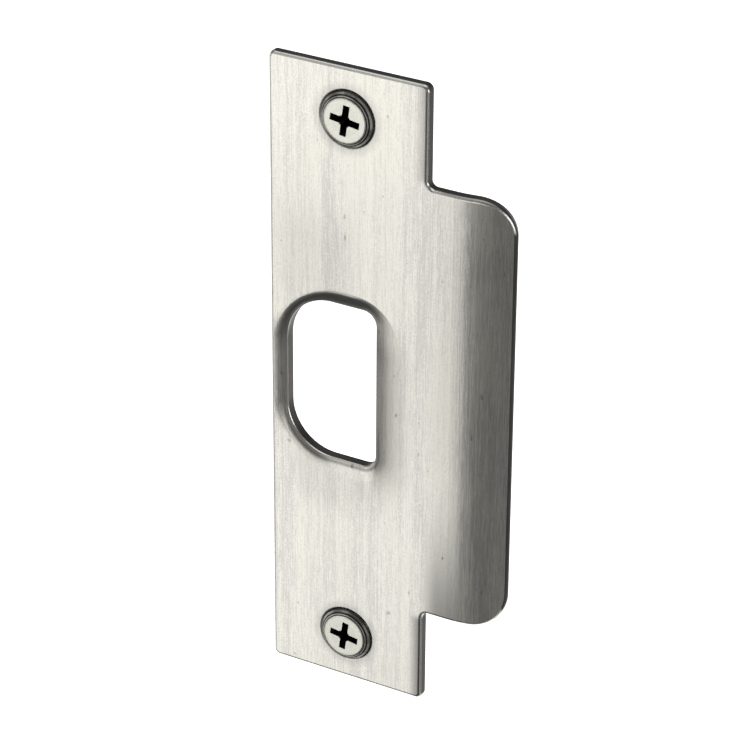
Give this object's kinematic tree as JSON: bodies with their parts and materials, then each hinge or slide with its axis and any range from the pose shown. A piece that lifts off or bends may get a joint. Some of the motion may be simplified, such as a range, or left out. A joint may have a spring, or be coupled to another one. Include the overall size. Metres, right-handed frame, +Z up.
{
  "type": "door strike plate",
  "caption": "T-shaped door strike plate with a D-shaped latch hole in a pressed rim, a lip curving back to one side and a countersunk cross-recess screw at each end.",
  "frame": {"origin": "midway between the two screws, on the plane of the plate's flat back, where the centre line of the door's latch crosses it", "axes": "+Z up the plate, +X towards the lip, +Y out of the back into the door frame; the front faces -Y"},
  "size_m": [0.0477, 0.0127, 0.1238],
  "materials": {
    "plate_metal": "satin, with a fine upright brushed grain",
    "screw_metal": "satin"
  },
  "bodies": {
    "root": {"strike_plate": "plate_metal", "upper_screw": "screw_metal", "lower_screw": "screw_metal"}
  },
  "joints": []
}
